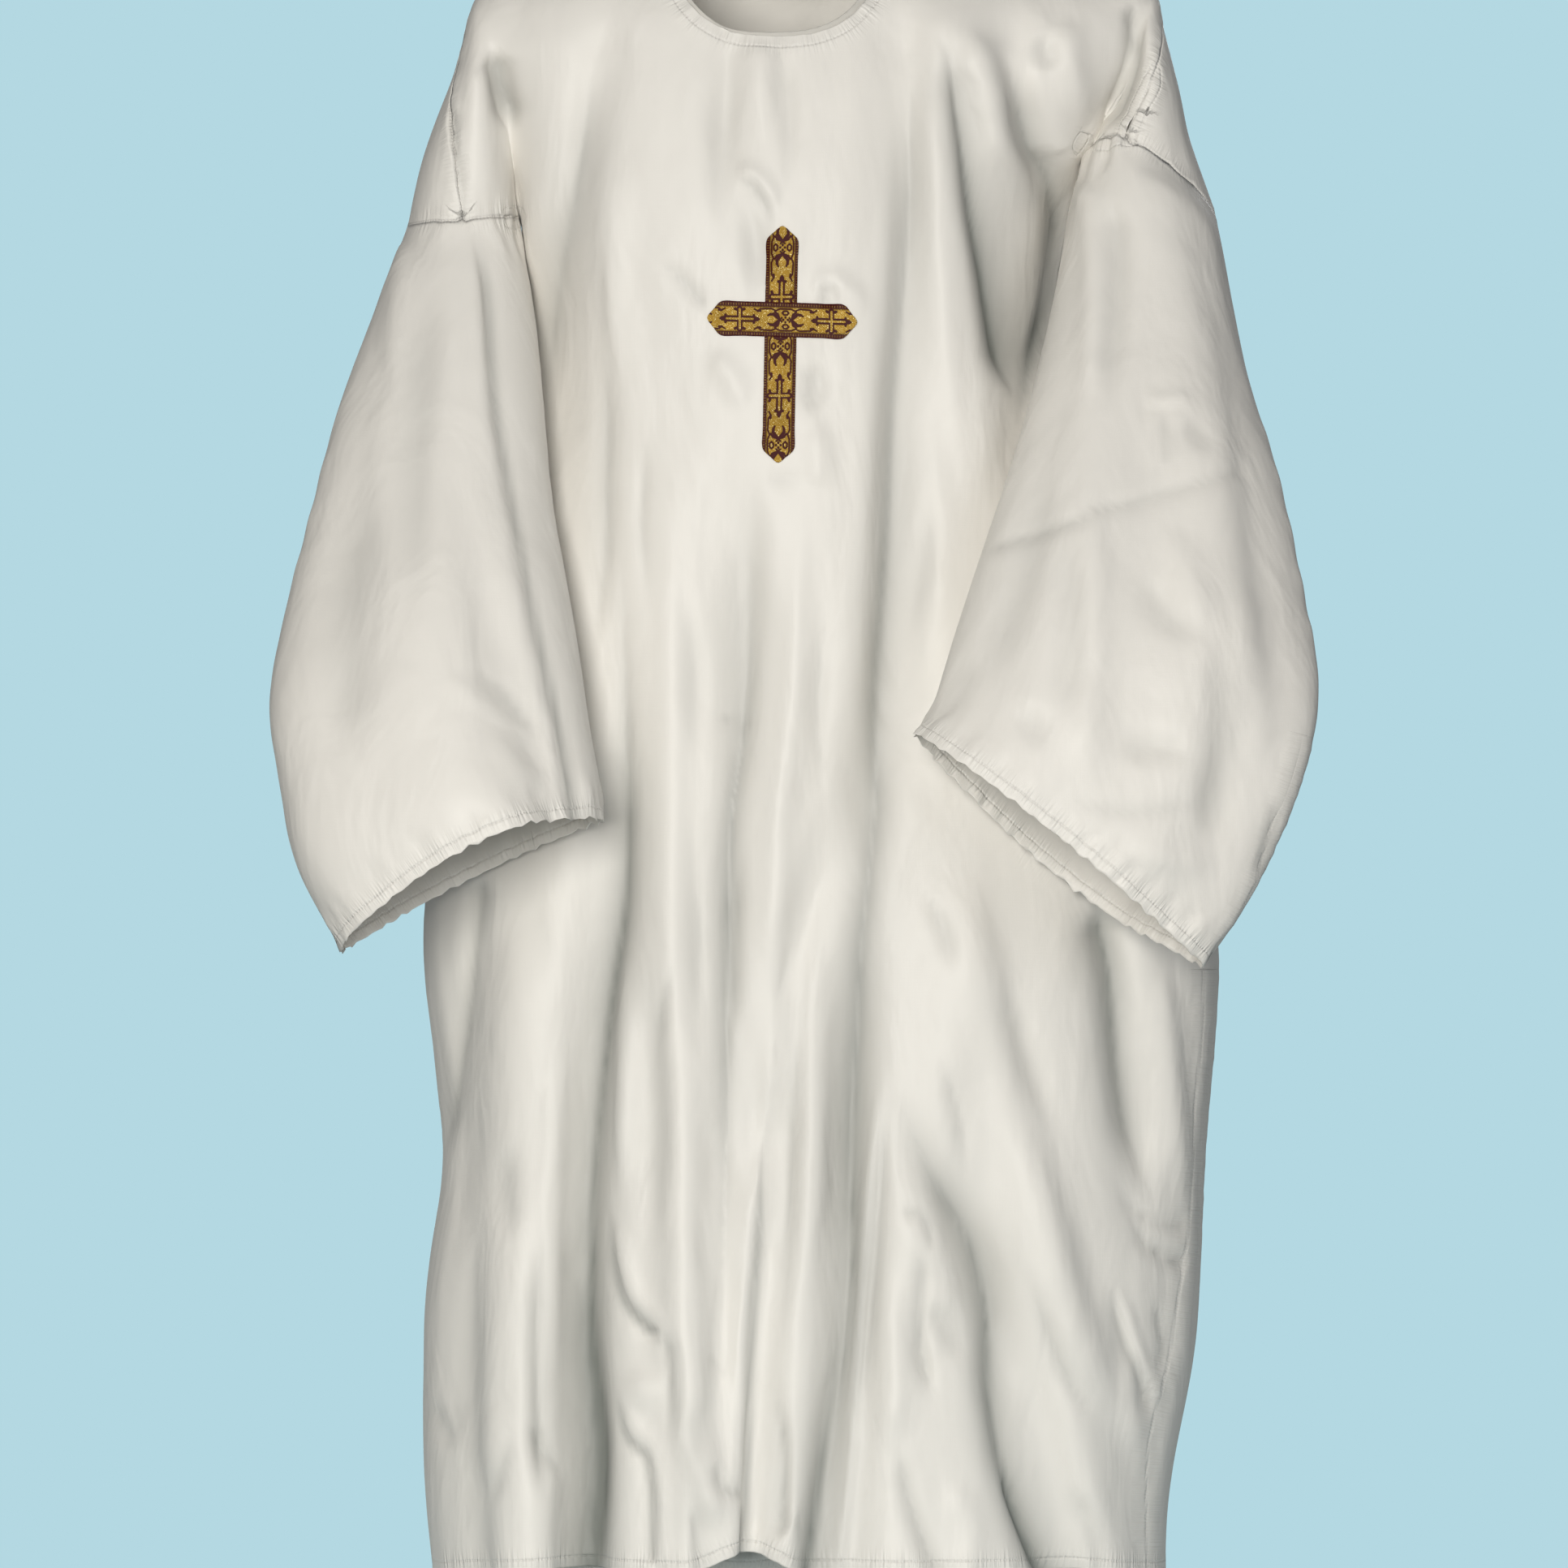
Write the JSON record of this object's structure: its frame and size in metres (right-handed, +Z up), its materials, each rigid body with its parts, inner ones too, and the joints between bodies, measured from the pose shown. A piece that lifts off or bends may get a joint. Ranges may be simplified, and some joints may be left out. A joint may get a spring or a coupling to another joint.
{
  "type": "baptismal robe",
  "caption": "Long plain white robe with wide bell sleeves, a round neck and a woven galloon cross on the chest, hollow as worn.",
  "frame": {"origin": "middle of the shoulder line at the base of the neck, where the wearer's shoulders hold the robe up", "axes": "+Z up along the robe's length, the front towards -Y, the wearer's left towards +X"},
  "size_m": [0.8819, 0.5202, 1.4441],
  "materials": {
    "robe_cloth": "fine plain-weave white cotton blend with a faint lustre",
    "facing_cloth": "the same white cloth, turned inside the neck",
    "gold_galloon": "gold and burgundy jacquard galloon with metallic thread"
  },
  "bodies": {
    "root": {"front_panel": "robe_cloth", "back_panel": "robe_cloth", "sleeve_right": "robe_cloth", "sleeve_left": "robe_cloth", "neck_facing": "facing_cloth", "cross_upright": "gold_galloon", "cross_bar": "gold_galloon"}
  },
  "joints": []
}
